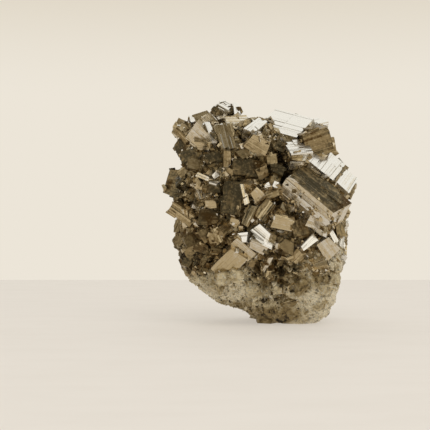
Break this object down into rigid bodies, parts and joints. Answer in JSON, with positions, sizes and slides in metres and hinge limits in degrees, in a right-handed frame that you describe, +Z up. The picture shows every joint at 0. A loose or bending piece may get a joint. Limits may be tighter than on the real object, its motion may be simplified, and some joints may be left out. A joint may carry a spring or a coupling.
{
  "type": "pyrite crystal cluster",
  "caption": "Chunky mineral cluster of blocky, striated, brassy crystals grown together on a rough granular base, resting on a small flat patch.",
  "frame": {"origin": "the middle of the bounding box's bottom face, on the surface the cluster rests on", "axes": "+Z up, the cluster's longest extent; -Y towards the side with the large striated crystals; +X to that side's right"},
  "size_m": [0.0866, 0.082, 0.1],
  "materials": {
    "pyrite": "natural metallic crystal faces, finely striated, with dull granular matrix between them"
  },
  "bodies": {
    "root": {"pyrite_cluster": "pyrite"}
  },
  "joints": []
}
